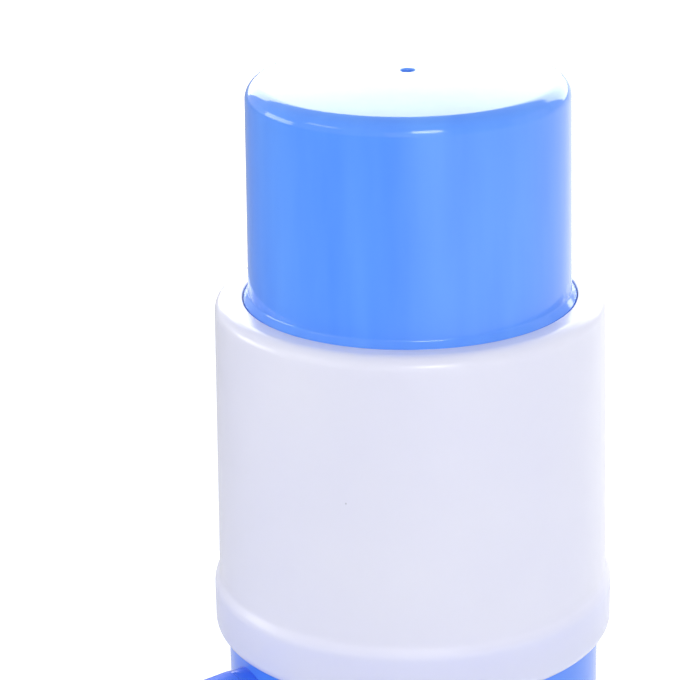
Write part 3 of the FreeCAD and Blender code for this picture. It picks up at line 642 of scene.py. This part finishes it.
@dataclass
class PressCap:
    """The blue cap that is pressed, from its vent down to its guide skirt. Sizes in mm."""

    plastic: Material
    copies: CopiesRoundAxis
    top_z: float = 167.8
    dome_rise: float = 1.4
    dome_steps: int = 14
    top_radius: float = 33.4
    foot_radius: float = 33.9
    inner_foot_z: float = 119.9
    rounding: float = 5.0
    rounding_steps: int = 18
    small_round_steps: int = 10
    wall: float = 1.8
    vent_radius: float = 1.4
    vent_fillet: float = 0.45
    inner_vent_fillet: float = 0.2

    # The foot flares out to fill the housing's opening
    flare_radius: float = 34.95
    flare_top_z: float = 122.8
    flare_low_z: float = 121.3
    flare_rounding: float = 1.1
    flange_radius: float = 38.5
    flange_top_z: float = 119.6
    flange_low_z: float = 117.6
    guide_low_z: float = 105.6
    edge_fillet: float = 0.35
    segments: int = 256
    boss_radius: float = 2.6
    boss_hole: float = 1.35
    boss_low_z: float = 162.4
    boss_sink: float = 0.35
    boss_fillet: float = 0.2
    boss_circle: float = 28.85
    boss_count: int = 4
    boss_first_degrees: float = 45.0
    boss_segments: int = 24

    def _dome(self, edge_z: float, flat_radius: float, outwards: bool) -> list[Corner]:
        """Points of the shallow dome between the vent and the edge rounding.

        Args:
            edge_z: The height at the dome's edge.
            flat_radius: The radius at the dome's edge.
            outwards: Whether the points run from the vent to the edge, or back.

        Returns:
            The points, without the ends.
        """
        points = []
        for step in range(1, self.dome_steps):
            out = self.vent_radius + (flat_radius - self.vent_radius) * step / self.dome_steps
            rise = self.dome_rise * (1 - (out / flat_radius) ** 2)
            points.append(Corner(out, edge_z + rise))
        return points if outwards else points[::-1]

    def outline(self) -> Outline:
        """The cap's section. The dome runs into its edge rounding without a bend.

        Returns:
            One closed outline.
        """
        flat_radius = self.top_radius - self.rounding
        dome_slope = 2 * self.dome_rise / flat_radius
        corner_z = self.top_z - dome_slope * self.rounding
        inner_top = self.top_z - self.wall
        inner_radius = self.top_radius - self.wall
        inner_foot = self.foot_radius - self.wall
        guide_bore = self.flange_radius - self.wall
        fillet = self.edge_fillet
        corners = [Corner(self.vent_radius, self.top_z + self.dome_rise, self.vent_fillet)]
        corners += self._dome(self.top_z, flat_radius, True)
        corners += [
            Corner(self.top_radius, corner_z, self.rounding, self.rounding_steps),
            Corner(self.foot_radius, self.flare_top_z, self.flare_rounding, self.small_round_steps),
            Corner(self.flare_radius, self.flare_low_z, fillet),
            Corner(self.flare_radius, self.flange_top_z, fillet),
            Corner(self.flange_radius, self.flange_top_z, fillet),
            Corner(self.flange_radius, self.guide_low_z, fillet),
            Corner(guide_bore, self.guide_low_z, fillet),
            Corner(guide_bore, self.flange_low_z, fillet),
            Corner(inner_foot, self.flange_low_z, fillet),
            Corner(inner_foot, self.inner_foot_z),
            Corner(inner_radius, inner_top, self.rounding - self.wall, self.small_round_steps),
        ]
        corners += self._dome(inner_top, flat_radius, False)
        vent_top = inner_top + self.dome_rise
        corners.append(Corner(self.vent_radius, vent_top, self.inner_vent_fillet))
        return filleted(corners)

    def build(self) -> None:
        """Makes the cap and the screw bosses under its top."""
        shell = swept("push_cap_shell", self.outline(), self.segments)
        placed(shell, "press_cap", self.plastic, Body.CAP, ("push_cap",))
        root_z = self.top_z - self.wall + self.boss_sink
        corners = [
            Corner(self.boss_hole, self.boss_low_z, self.boss_fillet),
            Corner(self.boss_radius, self.boss_low_z, self.boss_fillet),
            Corner(self.boss_radius, root_z),
            Corner(self.boss_hole, root_z),
        ]
        boss = swept("cap_boss", filleted(corners), self.boss_segments)
        bosses = self.copies.mesh(
            "cap_bosses", boss, self.boss_count, self.boss_circle, self.boss_first_degrees,
            self.plastic,
        )
        placed(bosses, "press_cap_bosses", self.plastic, Body.CAP)


@dataclass
class Housing:
    """The white housing: shoulder, opening, tall wall, step, lip and snap groove. Sizes in mm."""

    plastic: Material
    rim_z: float = 121.5
    opening_radius: float = 35.1
    opening_rounding: float = 0.4
    top_radius: float = 41.0
    foot_radius: float = 41.9
    shoulder_rounding: float = 3.6
    shoulder_steps: int = 18
    top_wall: float = 1.6
    bore_top: float = 39.1
    bore_foot: float = 40.0
    bore_foot_z: float = 58.9
    step_z: float = 57.2
    step_rise: float = 2.6
    step_rounding: float = 4.0
    small_round_steps: int = 8
    seat_z: float = 53.5
    seat_radius: float = 39.16
    seat_rise: float = 2.2
    lip_radius: float = 43.0
    lip_bore: float = 40.36
    lip_foot_radius: float = 40.76
    lip_low_z: float = 46.5
    lip_rounding: float = 2.4
    lip_steps: int = 14
    groove_depth: float = 0.65
    groove_low_z: float = 49.0
    groove_top_z: float = 51.0
    edge_fillet: float = 0.25
    segments: int = 256

    def _lip_round(self) -> list[Corner]:
        """The long round at the lip's foot, as an arc that leaves the upright wall smoothly.

        Returns:
            The arc's points, upwards.
        """
        inwards = self.lip_radius - self.lip_foot_radius
        radius = (inwards**2 + self.lip_rounding**2) / (2 * inwards)
        whole = 2 * math.atan2(inwards, self.lip_rounding)
        top_z = self.lip_low_z + self.lip_rounding
        points = []
        for step in range(self.lip_steps, -1, -1):
            angle = whole * step / self.lip_steps
            out = self.lip_radius - radius * (1 - math.cos(angle))
            points.append(Corner(out, top_z - radius * math.sin(angle)))
        return points

    def build(self) -> None:
        """Makes the housing."""
        step_top = self.step_z + self.step_rise
        roof_z = self.rim_z - self.top_wall
        groove_radius = self.lip_bore + self.groove_depth
        corners = [Corner(self.lip_bore, self.lip_low_z)]
        corners += self._lip_round()
        corners += [
            Corner(self.lip_radius, self.step_z, self.step_rounding, self.small_round_steps),
            Corner(self.foot_radius, step_top, self.step_rounding, self.small_round_steps),
            Corner(self.top_radius, self.rim_z, self.shoulder_rounding, self.shoulder_steps),
            Corner(self.opening_radius, self.rim_z, self.opening_rounding, self.small_round_steps),
            Corner(self.opening_radius, roof_z, self.edge_fillet),
            Corner(self.bore_top, roof_z, self.edge_fillet),
            Corner(self.bore_foot, self.bore_foot_z),
            Corner(self.seat_radius, self.seat_z + self.seat_rise),
            Corner(self.seat_radius, self.seat_z, self.edge_fillet),
            Corner(self.lip_bore, self.seat_z, self.edge_fillet),
            Corner(self.lip_bore, self.groove_top_z),
            Corner(groove_radius, self.groove_top_z),
            Corner(groove_radius, self.groove_low_z),
            Corner(self.lip_bore, self.groove_low_z),
        ]
        shell = swept("housing_shell", filleted(corners), self.segments)
        placed(shell, "housing_shell", self.plastic, Body.BASE, ("housing",))


@dataclass
class Bellows:
    """The bellows between the deck and the cap, which on the pump flattens with the cap; here it is
    built at rest. Sizes in mm.
    """

    plastic: Material
    foot_z: float = 48.0
    head_z: float = 160.1
    flange_thickness: float = 1.4
    foot_radius: float = 32.06
    head_radius: float = 26.4
    foot_neck: float = 3.6

    # Longer than the foot's neck, so that the cap's screws clear the top fold at full stroke
    head_neck: float = 5.8
    folds: int = 11
    crest_radius: float = 30.0
    valley_radius: float = 23.0
    wall: float = 1.0
    bore_fillet: float = 0.2
    edge_fillet: float = 0.3
    stroke: float = 38.0
    bend_steps: int = 8
    segments: int = 128

    def _wall(self, side: float, low_z: float, pitch: float) -> list[Corner]:
        """One face of the folded wall, from its lower neck to its upper neck.

        Args:
            side: One for the outer face, minus one for the inner.
            low_z: Where the folds begin.
            pitch: The height of one fold.

        Returns:
            The points of the face.
        """
        bend = pitch / 4
        offset = side * self.wall / 2
        crest_centre = self.crest_radius - self.wall / 2 - bend
        valley_centre = self.valley_radius + bend
        crest = bend + offset
        valley = bend - offset
        points = []
        for fold in range(self.folds):
            z = low_z + pitch * fold
            # Each arc: its centre, its radius, and its start and end in half turns
            arcs = (
                (valley_centre, z, -valley, 0.0, 0.5),
                (crest_centre, z + pitch / 2, crest, -0.5, 0.5),
                (valley_centre, z + pitch, -valley, -0.5, 0.0),
            )
            for out, middle, radius, start, end in arcs:
                for step in range(self.bend_steps + 1):
                    angle = math.pi * (start + (end - start) * step / self.bend_steps)
                    height = abs(radius) * math.sin(angle)
                    points.append(Corner(out + radius * math.cos(angle), middle + height))
        return points

    def build(self) -> None:
        """Makes the bellows, fixed at its foot."""
        foot_top = self.foot_z + self.flange_thickness
        head_low = self.head_z - self.flange_thickness
        low_z = foot_top + self.foot_neck
        pitch = (head_low - self.head_neck - low_z) / self.folds
        neck_radius = self.valley_radius + self.wall / 2
        bore_radius = self.valley_radius - self.wall / 2
        corners = [
            Corner(bore_radius, self.foot_z, self.bore_fillet),
            Corner(self.foot_radius, self.foot_z, self.edge_fillet),
            Corner(self.foot_radius, foot_top, self.edge_fillet),
            Corner(neck_radius, foot_top, self.edge_fillet),
        ]
        corners += self._wall(1.0, low_z, pitch)
        corners += [
            Corner(neck_radius, head_low, self.edge_fillet),
            Corner(self.head_radius, head_low, self.edge_fillet),
            Corner(self.head_radius, self.head_z, self.edge_fillet),
            Corner(bore_radius, self.head_z, self.bore_fillet),
        ]
        corners += self._wall(-1.0, low_z, pitch)[::-1]
        folded = swept("bellows_folds", filleted(corners), self.segments)
        piece = placed(folded, "bellows_folds", self.plastic, Body.BASE, ("bellows",))
        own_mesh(piece)


@dataclass
class Spout:
    """The spout on its bent axis: stub with a seal groove, cone, bend and tip. Sizes in mm."""

    plastic: Material
    face_x: float = -43.66
    axis_z: float = 33.5
    stub_radius: float = 8.0
    stub_length: float = 12.6
    stub_fillet: float = 0.5
    groove_middle: float = 6.3
    groove_width: float = 2.2
    groove_radius: float = 6.4
    groove_fillet: float = 0.15
    root_radius: float = 9.7
    root_fillet: float = 0.12
    pipe_radius: float = 8.3
    bore_radius: float = 5.6
    bore_fillet: float = 0.3
    cone_length: float = 15.0
    cone_blend: float = 9.0
    cone_steps: int = 12
    bend_radius: float = 24.0
    bend_degrees: float = 78.0
    tip_length: float = 9.0
    tip_fillet: float = 0.9
    tip_steps: int = 8
    mouth_fillet: float = 0.6
    longest_edge: float = 1.2
    segments: int = 96

    def frame_at(self, along: float) -> AxisFrame:
        """The spout's axis: straight to the cone's end, then a bend, then straight again.

        Args:
            along: Distance from the base's face, in mm. Negative is inside the port.

        Returns:
            The centre, the way to the outside of the bend, and the way across it.
        """
        past_cone = along - self.cone_length
        whole = math.radians(self.bend_degrees)
        angle = min(max(past_cone / self.bend_radius, 0.0), whole)
        outwards = Vector((-math.sin(angle), 0, math.cos(angle)))
        forwards = Vector((-math.cos(angle), 0, -math.sin(angle)))
        bend_centre = Vector((self.face_x - self.cone_length, 0, self.axis_z - self.bend_radius))
        straight = min(past_cone, 0.0) + max(past_cone - whole * self.bend_radius, 0.0)
        centre = bend_centre + outwards * self.bend_radius + forwards * straight
        return centre, outwards, Vector((0, 1, 0))

    def build(self) -> None:
        """Makes the spout."""
        bend_length = math.radians(self.bend_degrees) * self.bend_radius
        end = self.cone_length + bend_length + self.tip_length
        groove_near = -self.groove_middle + self.groove_width / 2
        groove_far = -self.groove_middle - self.groove_width / 2
        corners = [
            Corner(self.bore_radius, -self.stub_length, self.bore_fillet),
            Corner(self.stub_radius, -self.stub_length, self.stub_fillet),
            Corner(self.stub_radius, groove_far, self.groove_fillet),
            Corner(self.groove_radius, groove_far, self.groove_fillet),
            Corner(self.groove_radius, groove_near, self.groove_fillet),
            Corner(self.stub_radius, groove_near, self.groove_fillet),
            Corner(self.stub_radius, 0.0),
            Corner(self.root_radius, 0.0, self.root_fillet),
            Corner(self.pipe_radius, self.cone_length, self.cone_blend, self.cone_steps),
            Corner(self.pipe_radius, end, self.tip_fillet, self.tip_steps),
            Corner(self.bore_radius, end, self.mouth_fillet),
        ]
        outline = divided(filleted(corners), self.longest_edge)
        tube = swept("spout_tube", outline, self.segments, self.frame_at)
        placed(tube, "spout_tube", self.plastic, Body.BASE, ("spout",))


@dataclass
class ClampRing:
    """The ring that is turned by hand, with its thread and its grip ribs. Sizes in mm."""

    plastic: Material
    copies: CopiesRoundAxis
    height: float = 21.5
    radius: float = 41.0
    bore: float = 36.05
    bore_fillet: float = 0.4
    lip_bore: float = 29.55
    lip_fillet: float = 0.5
    lip_thickness: float = 2.6
    inner_fillet: float = 0.3
    edge_rounding: float = 1.0
    edge_steps: int = 8
    segments: int = 216
    rib_count: int = 36
    rib_radius: float = 1.7
    rib_rise: float = 0.9
    rib_margin: float = 2.6
    rib_steps: int = 6
    rib_segments: int = 20
    thread_crest_radius: float = 35.15
    thread_sink: float = 0.4
    thread_low_z: float = 9.5
    thread_turns: float = 2.5
    thread_pitch: float = 4.0
    thread_half_crest: float = 0.55
    thread_flank_slope: float = 0.4

    # Steps in one turn, and the steps over which the ridge fades in and out
    thread_steps: int = 120
    thread_fade_steps: int = 10

    def _rib(self) -> Mesh:
        """One rib with round ends, on the pump's axis.

        Returns:
            The rib's mesh.
        """
        low = self.rib_margin
        high = self.height - self.rib_margin
        rounds: Outline = []
        for step in range(self.rib_steps + 1):
            angle = math.pi / 2 * step / self.rib_steps
            rise = self.rib_radius * (1 - math.cos(angle))
            rounds.append((self.rib_radius * math.sin(angle), rise))
        points = [(out, low + rise) for out, rise in rounds]
        points += [(out, high - rise) for out, rise in reversed(rounds)]
        return swept("grip_rib", points, self.rib_segments, closed=False)

    def _thread(self) -> Mesh:
        """The thread's ridge inside the ring, which fades in and out at its ends.

        Returns:
            The ridge's mesh.
        """
        foot_radius = self.bore + self.thread_sink
        count = round(self.thread_turns * self.thread_steps)
        rings = []
        for step in range(count + 1):
            angle = 2 * math.pi * step / self.thread_steps
            middle = self.thread_low_z + self.thread_pitch * step / self.thread_steps
            share = min(1.0, step / self.thread_fade_steps, (count - step) / self.thread_fade_steps)
            crest = foot_radius + (self.thread_crest_radius - foot_radius) * share
            half_foot = self.thread_half_crest + self.thread_flank_slope * abs(crest - foot_radius)
            section = (
                (foot_radius, middle - half_foot),
                (crest, middle - self.thread_half_crest),
                (crest, middle + self.thread_half_crest),
                (foot_radius, middle + half_foot),
            )
            level = (math.cos(angle), math.sin(angle))
            rings.append([Vector((out * level[0], out * level[1], z)) for out, z in section])
        return meshed("clamp_ring_thread", rings, closed=False, capped=True)

    def build(self) -> None:
        """Makes the ring, its thread and its ribs."""
        corners = [
            Corner(self.lip_bore, 0.0, self.lip_fillet),
            Corner(self.radius, 0.0, self.edge_rounding, self.edge_steps),
            Corner(self.radius, self.height, self.edge_rounding, self.edge_steps),
            Corner(self.bore, self.height, self.bore_fillet),
            Corner(self.bore, self.lip_thickness, self.inner_fillet),
            Corner(self.lip_bore, self.lip_thickness, self.inner_fillet),
        ]
        ring = swept("clamp_ring_body", filleted(corners), self.segments)
        placed(ring, "clamp_ring_body", self.plastic, Body.CLAMP_RING, ("clamp_ring",))
        placed(self._thread(), "clamp_ring_thread", self.plastic, Body.CLAMP_RING)
        circle = self.radius + self.rib_rise - self.rib_radius
        first = 180.0 / self.rib_count
        rib = self._rib()
        ribs = self.copies.mesh("grip_ribs", rib, self.rib_count, circle, first, self.plastic)
        placed(ribs, "clamp_ring_ribs", self.plastic, Body.CLAMP_RING)


@dataclass
class ScrewSet:
    """Pan-head screws with a cross recess, set evenly round the axis. Sizes in mm."""

    steel: Material
    copies: CopiesRoundAxis
    name: str
    node: str
    body: Body
    seat_z: float
    length: float
    circle: float
    head_up: bool
    count: int = 4
    first_degrees: float = 45.0
    radius: float = 1.3
    tip_fillet: float = 0.2
    head_radius: float = 2.4
    head_thickness: float = 1.6
    head_rounding: float = 0.7
    head_fillet: float = 0.1
    small_steps: int = 2
    recess_length: float = 3.1
    recess_width: float = 0.7
    recess_depth: float = 0.8
    segments: int = 28

    def _prototype(self) -> Mesh:
        """One screw on the pump's axis, at its own height.

        Returns:
            The screw's mesh.
        """
        way = 1.0 if self.head_up else -1.0
        top = self.seat_z + way * self.head_thickness
        tip = self.seat_z - way * self.length
        corners = [
            Corner(0.0, top),
            Corner(self.head_radius, top, self.head_rounding),
            Corner(self.head_radius, self.seat_z, self.head_fillet, self.small_steps),
            Corner(self.radius, self.seat_z),
            Corner(self.radius, tip + way * self.radius, self.tip_fillet, self.small_steps),
            Corner(0.0, tip),
        ]
        solid = swept(self.name + "_solid", filleted(corners), self.segments, closed=False)
        screw = linked(self.name + "_solid", solid)
        tools = []
        arms = (
            (self.recess_length, self.recess_width),
            (self.recess_width, self.recess_length),
        )
        for along_x, along_y in arms:
            build = bmesh.new()
            size = Matrix.Diagonal((along_x, along_y, 2 * self.recess_depth, 1.0))
            bmesh.ops.create_cube(build, size=1.0, matrix=size)
            for vertex in build.verts:
                vertex.co = Vector((vertex.co.x, vertex.co.y, vertex.co.z + top)) * MM
            arm = bpy.data.meshes.new(self.name + "_recess")
            build.to_mesh(arm)
            build.free()
            tools.append(linked(self.name + "_recess", arm))
            cut = screw.modifiers.new("recess", "BOOLEAN")
            cut.operation = "DIFFERENCE"
            cut.solver = "EXACT"
            cut.object = tools[-1]
        graph = bpy.context.evaluated_depsgraph_get()
        made = bpy.data.meshes.new_from_object(screw.evaluated_get(graph))
        screw.modifiers.clear()
        for used in (screw, *tools):
            bpy.data.objects.remove(used)
        return made

    def build(self) -> None:
        """Makes the screws."""
        screw = self._prototype()
        screws = self.copies.mesh(
            self.name, screw, self.count, self.circle, self.first_degrees, self.steel
        )
        placed(screws, self.name, self.steel, self.body, (self.node,))


@dataclass(frozen=True)
class Lamp:
    """A soft lamp, placed by its bearing from the camera's side of the pump, to the right.

    Angles are in degrees, lengths in metres and the power in watts.
    """

    name: str
    bearing: float
    elevation: float
    distance: float
    width: float
    height: float
    power: float


@dataclass
class Studio:
    """The camera at the photograph's place, the pale floor, the lamps and the white room."""

    lens_mm: float = 141.4
    sensor_mm: float = 36.0
    camera_out_mm: float = 530.0
    camera_above_rim_mm: float = 182.5
    rim_z_mm: float = 121.5
    pitch_degrees: float = 20.02
    yaw_degrees: float = 1.603
    roll_degrees: float = -1.1
    spout_turn_degrees: float = 30.0
    lamp_aim_mm: float = 95.0
    lamps: tuple[Lamp, ...] = (
        Lamp("strip_lamp", 13.0, 29.0, 1.3, 0.42, 0.3, 3.6),
        Lamp("window_lamp", -65.0, 30.0, 1.4, 0.56, 0.2, 0.9),
        Lamp("front_lamp", 6.0, 14.0, 1.8, 1.4, 1.0, 2.8),
        Lamp("left_lamp", -101.0, 9.0, 1.6, 0.83, 0.4, 4.2),
        Lamp("right_lamp", 95.0, 16.0, 1.6, 1.0, 0.7, 0.8),
        Lamp("back_lamp", 173.0, 21.0, 1.4, 2.1, 0.86, 19.0),
    )
    room_seen: float = 1.0
    room_mirrored: float = 1.0
    room_light: float = 0.65
    floor_size_m: float = 8.0
    floor_colour: str = "EDEEF1"
    floor_glow: float = 0.4

    # What a glossy wall mirrors of the floor, from the left of the pump to its right
    floor_mirrored_left: float = 0.45
    floor_mirrored_right: float = 1.4
    floor_mirrored_reach_m: float = 0.25

    def _to_part(self) -> Matrix:
        """The turn from the camera's own frame, with the camera on -Y, into the pump's frame."""
        return Matrix.Rotation(-math.radians(self.spout_turn_degrees), 3, "Z")

    def add_camera(self) -> None:
        """Puts the camera where the photograph was taken from."""
        pitch = math.radians(self.pitch_degrees)
        yaw = math.radians(self.yaw_degrees)
        roll = math.radians(self.roll_degrees)
        ahead = Vector(
            (-math.sin(yaw) * math.cos(pitch), math.cos(yaw) * math.cos(pitch), -math.sin(pitch))
        )
        level_right = ahead.cross(Vector((0, 0, 1))).normalized()
        level_up = level_right.cross(ahead)
        right = level_right * math.cos(roll) + level_up * math.sin(roll)
        up = level_up * math.cos(roll) - level_right * math.sin(roll)
        turn = self._to_part()
        axes = Matrix((turn @ right, turn @ up, turn @ -ahead)).transposed()
        spot = Vector((0, -self.camera_out_mm, self.rim_z_mm + self.camera_above_rim_mm))
        data = bpy.data.cameras.new("photo_camera")
        data.lens = self.lens_mm
        data.sensor_width = self.sensor_mm
        camera = linked("photo_camera", data)
        camera.matrix_world = Matrix.Translation(turn @ spot * MM) @ axes.to_4x4()
        bpy.context.scene.camera = camera

    def add_lamps(self) -> None:
        """Hangs the lamps round the pump, all aimed at its middle."""
        aim = Vector((0, 0, self.lamp_aim_mm * MM))
        for lamp in self.lamps:
            bearing = math.radians(-90 - self.spout_turn_degrees + lamp.bearing)
            rise = math.radians(lamp.elevation)
            level = math.cos(rise)
            way = Vector((math.cos(bearing) * level, math.sin(bearing) * level, math.sin(rise)))
            data = bpy.data.lights.new(lamp.name, "AREA")
            data.energy = lamp.power
            data.shape = "RECTANGLE"
            data.size = lamp.width
            data.size_y = lamp.height
            light = linked(lamp.name, data)
            light.location = aim + way * lamp.distance
            light.rotation_euler = (-way).to_track_quat("-Z", "Y").to_euler()
            light.visible_camera = False

    def add_floor(self) -> None:
        """Lays the pale floor, which looks white to the camera where no shadow falls."""
        half = self.floor_size_m / 2
        mesh = bpy.data.meshes.new("floor")
        corners = [(-half, -half, 0), (half, -half, 0), (half, half, 0), (-half, half, 0)]
        mesh.from_pydata(corners, [], [(0, 1, 2, 3)])
        floor = linked("floor", mesh)
        material = bpy.data.materials.new("painted_white_floor")
        material.use_nodes = True
        tree = material.node_tree
        tree.nodes.clear()
        paint = add_node(tree, "ShaderNodeBsdfDiffuse", {"Color": linear(self.floor_colour)})
        shine = {"Color": linear(WHITE), "Strength": self._by_ray(tree, self.floor_glow, 0.0, 0.0)}
        glow = add_node(tree, "ShaderNodeEmission", shine)
        layers = {0: paint, 1: glow}
        plain = add_node(tree, "ShaderNodeAddShader", layers)
        place = add_node(tree, "ShaderNodeTexCoord").outputs["Object"]
        to_right = {0: place, 1: self._to_part() @ Vector((1, 0, 0))}
        across = add_node(tree, "ShaderNodeVectorMath", to_right, operation="DOT_PRODUCT")
        blend = {
            "Value": across, "From Min": -self.floor_mirrored_reach_m,
            "From Max": self.floor_mirrored_reach_m, "To Min": self.floor_mirrored_left,
            "To Max": self.floor_mirrored_right,
        }
        mirrored = add_node(tree, "ShaderNodeMapRange", blend, interpolation_type="SMOOTHSTEP")
        sheen = {"Color": linear(WHITE), "Strength": mirrored}
        image = add_node(tree, "ShaderNodeEmission", sheen)
        in_mirror = self._by_ray(tree, 0.0, 1.0, 0.0)
        sides = {0: in_mirror, 1: plain, 2: image}
        whole = add_node(tree, "ShaderNodeMixShader", sides)
        add_node(tree, "ShaderNodeOutputMaterial", {"Surface": whole})
        mesh.materials.append(material)

    def _by_ray(self, tree: Tree, seen: float, mirrored: float, otherwise: float) -> Source:
        """A strength that depends on the ray that meets it.

        Args:
            tree: The tree that uses it.
            seen: The strength for rays from the camera.
            mirrored: The strength for reflected and refracted rays.
            otherwise: The strength for all other rays, which light the pump.

        Returns:
            The strength's source.
        """
        path = add_node(tree, "ShaderNodeLightPath").outputs
        kinds = {0: path["Is Glossy Ray"], 1: path["Is Transmission Ray"]}
        mirror = add_node(tree, "ShaderNodeMath", kinds, operation="MAXIMUM")
        hidden = {0: mirror, 1: mirrored - otherwise, 2: otherwise}
        unseen = add_node(tree, "ShaderNodeMath", hidden, operation="MULTIPLY_ADD")
        direct = {0: path["Is Camera Ray"], 1: seen - otherwise, 2: unseen}
        return add_node(tree, "ShaderNodeMath", direct, operation="MULTIPLY_ADD")

    def add_surroundings(self) -> None:
        """Makes the room white to the camera and a plain soft light to the pump."""
        world = bpy.data.worlds.new("white_room")
        bpy.context.scene.world = world
        world.use_nodes = True
        tree = world.node_tree
        tree.nodes.clear()
        strength = self._by_ray(tree, self.room_seen, self.room_mirrored, self.room_light)
        glow = {"Color": linear(WHITE), "Strength": strength}
        room = add_node(tree, "ShaderNodeBackground", glow)
        add_node(tree, "ShaderNodeOutputWorld", {"Surface": room})

    def build(self) -> None:
        """Sets up the camera, the lamps, the floor and the surroundings."""
        bpy.context.scene.view_settings.view_transform = "Standard"
        self.add_camera()
        self.add_lamps()
        self.add_floor()
        self.add_surroundings()


# The frame's nodes that stay as they are and only get a finish
INNER_NODES = (
    "deck_plate", "outlet_valve_pin", "outlet_pin_clip", "bellows_clamp_ring", "top_plate",
    "top_ring", "intake_valve_pin", "intake_pin_clip", "collet",
)
SEAL_NODES = ("neck_gasket", "deck_seal", "spout_oring")
FLAP_NODES = ("intake_flap", "outlet_flap")


def main() -> None:
    """Builds the pump's pieces in order, then the studio round it."""
    finishes = {
        Slot.BLUE: BLUE_ABS.build(),
        Slot.WHITE: MILKY_PP.build(),
        Slot.INNER: NATURAL_PP.build(),
        Slot.BELLOWS: BELLOWS_PE.build(),
        Slot.SEAL: SEAL_SILICONE.build(),
        Slot.FLAP: FLAP_SILICONE.build(),
        Slot.STEEL: SCREW_STEEL.build(),
    }
    copies = CopiesRoundAxis()
    PressCap(finishes[Slot.BLUE], copies).build()
    Housing(finishes[Slot.WHITE]).build()
    Bellows(finishes[Slot.BELLOWS]).build()
    Spout(SHADED_SPOUT_ABS.build()).build()
    ClampRing(finishes[Slot.BLUE], copies).build()
    ScrewSet(
        finishes[Slot.STEEL], copies, name="deck_screw_set", node="deck_screws", body=Body.BASE,
        seat_z=52.3, length=13.8, circle=34.51, head_up=True,
    ).build()
    ScrewSet(
        finishes[Slot.STEEL], copies, name="cap_screw_set", node="cap_screws", body=Body.CAP,
        seat_z=156.2, length=8.8, circle=28.85, head_up=False,
    ).build()
    dressed = {
        "base_body": BASE_ABS.build(),
        **dict.fromkeys(INNER_NODES, finishes[Slot.INNER]),
        **dict.fromkeys(SEAL_NODES, finishes[Slot.SEAL]),
        **dict.fromkeys(FLAP_NODES, finishes[Slot.FLAP]),
    }
    for node, material in dressed.items():
        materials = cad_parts[node].data.materials
        materials.clear()
        materials.append(material)
        LOG.info("%s: dressed in %s", node, material.name)
    Studio().build()


if __name__ == "__main__":
    main()
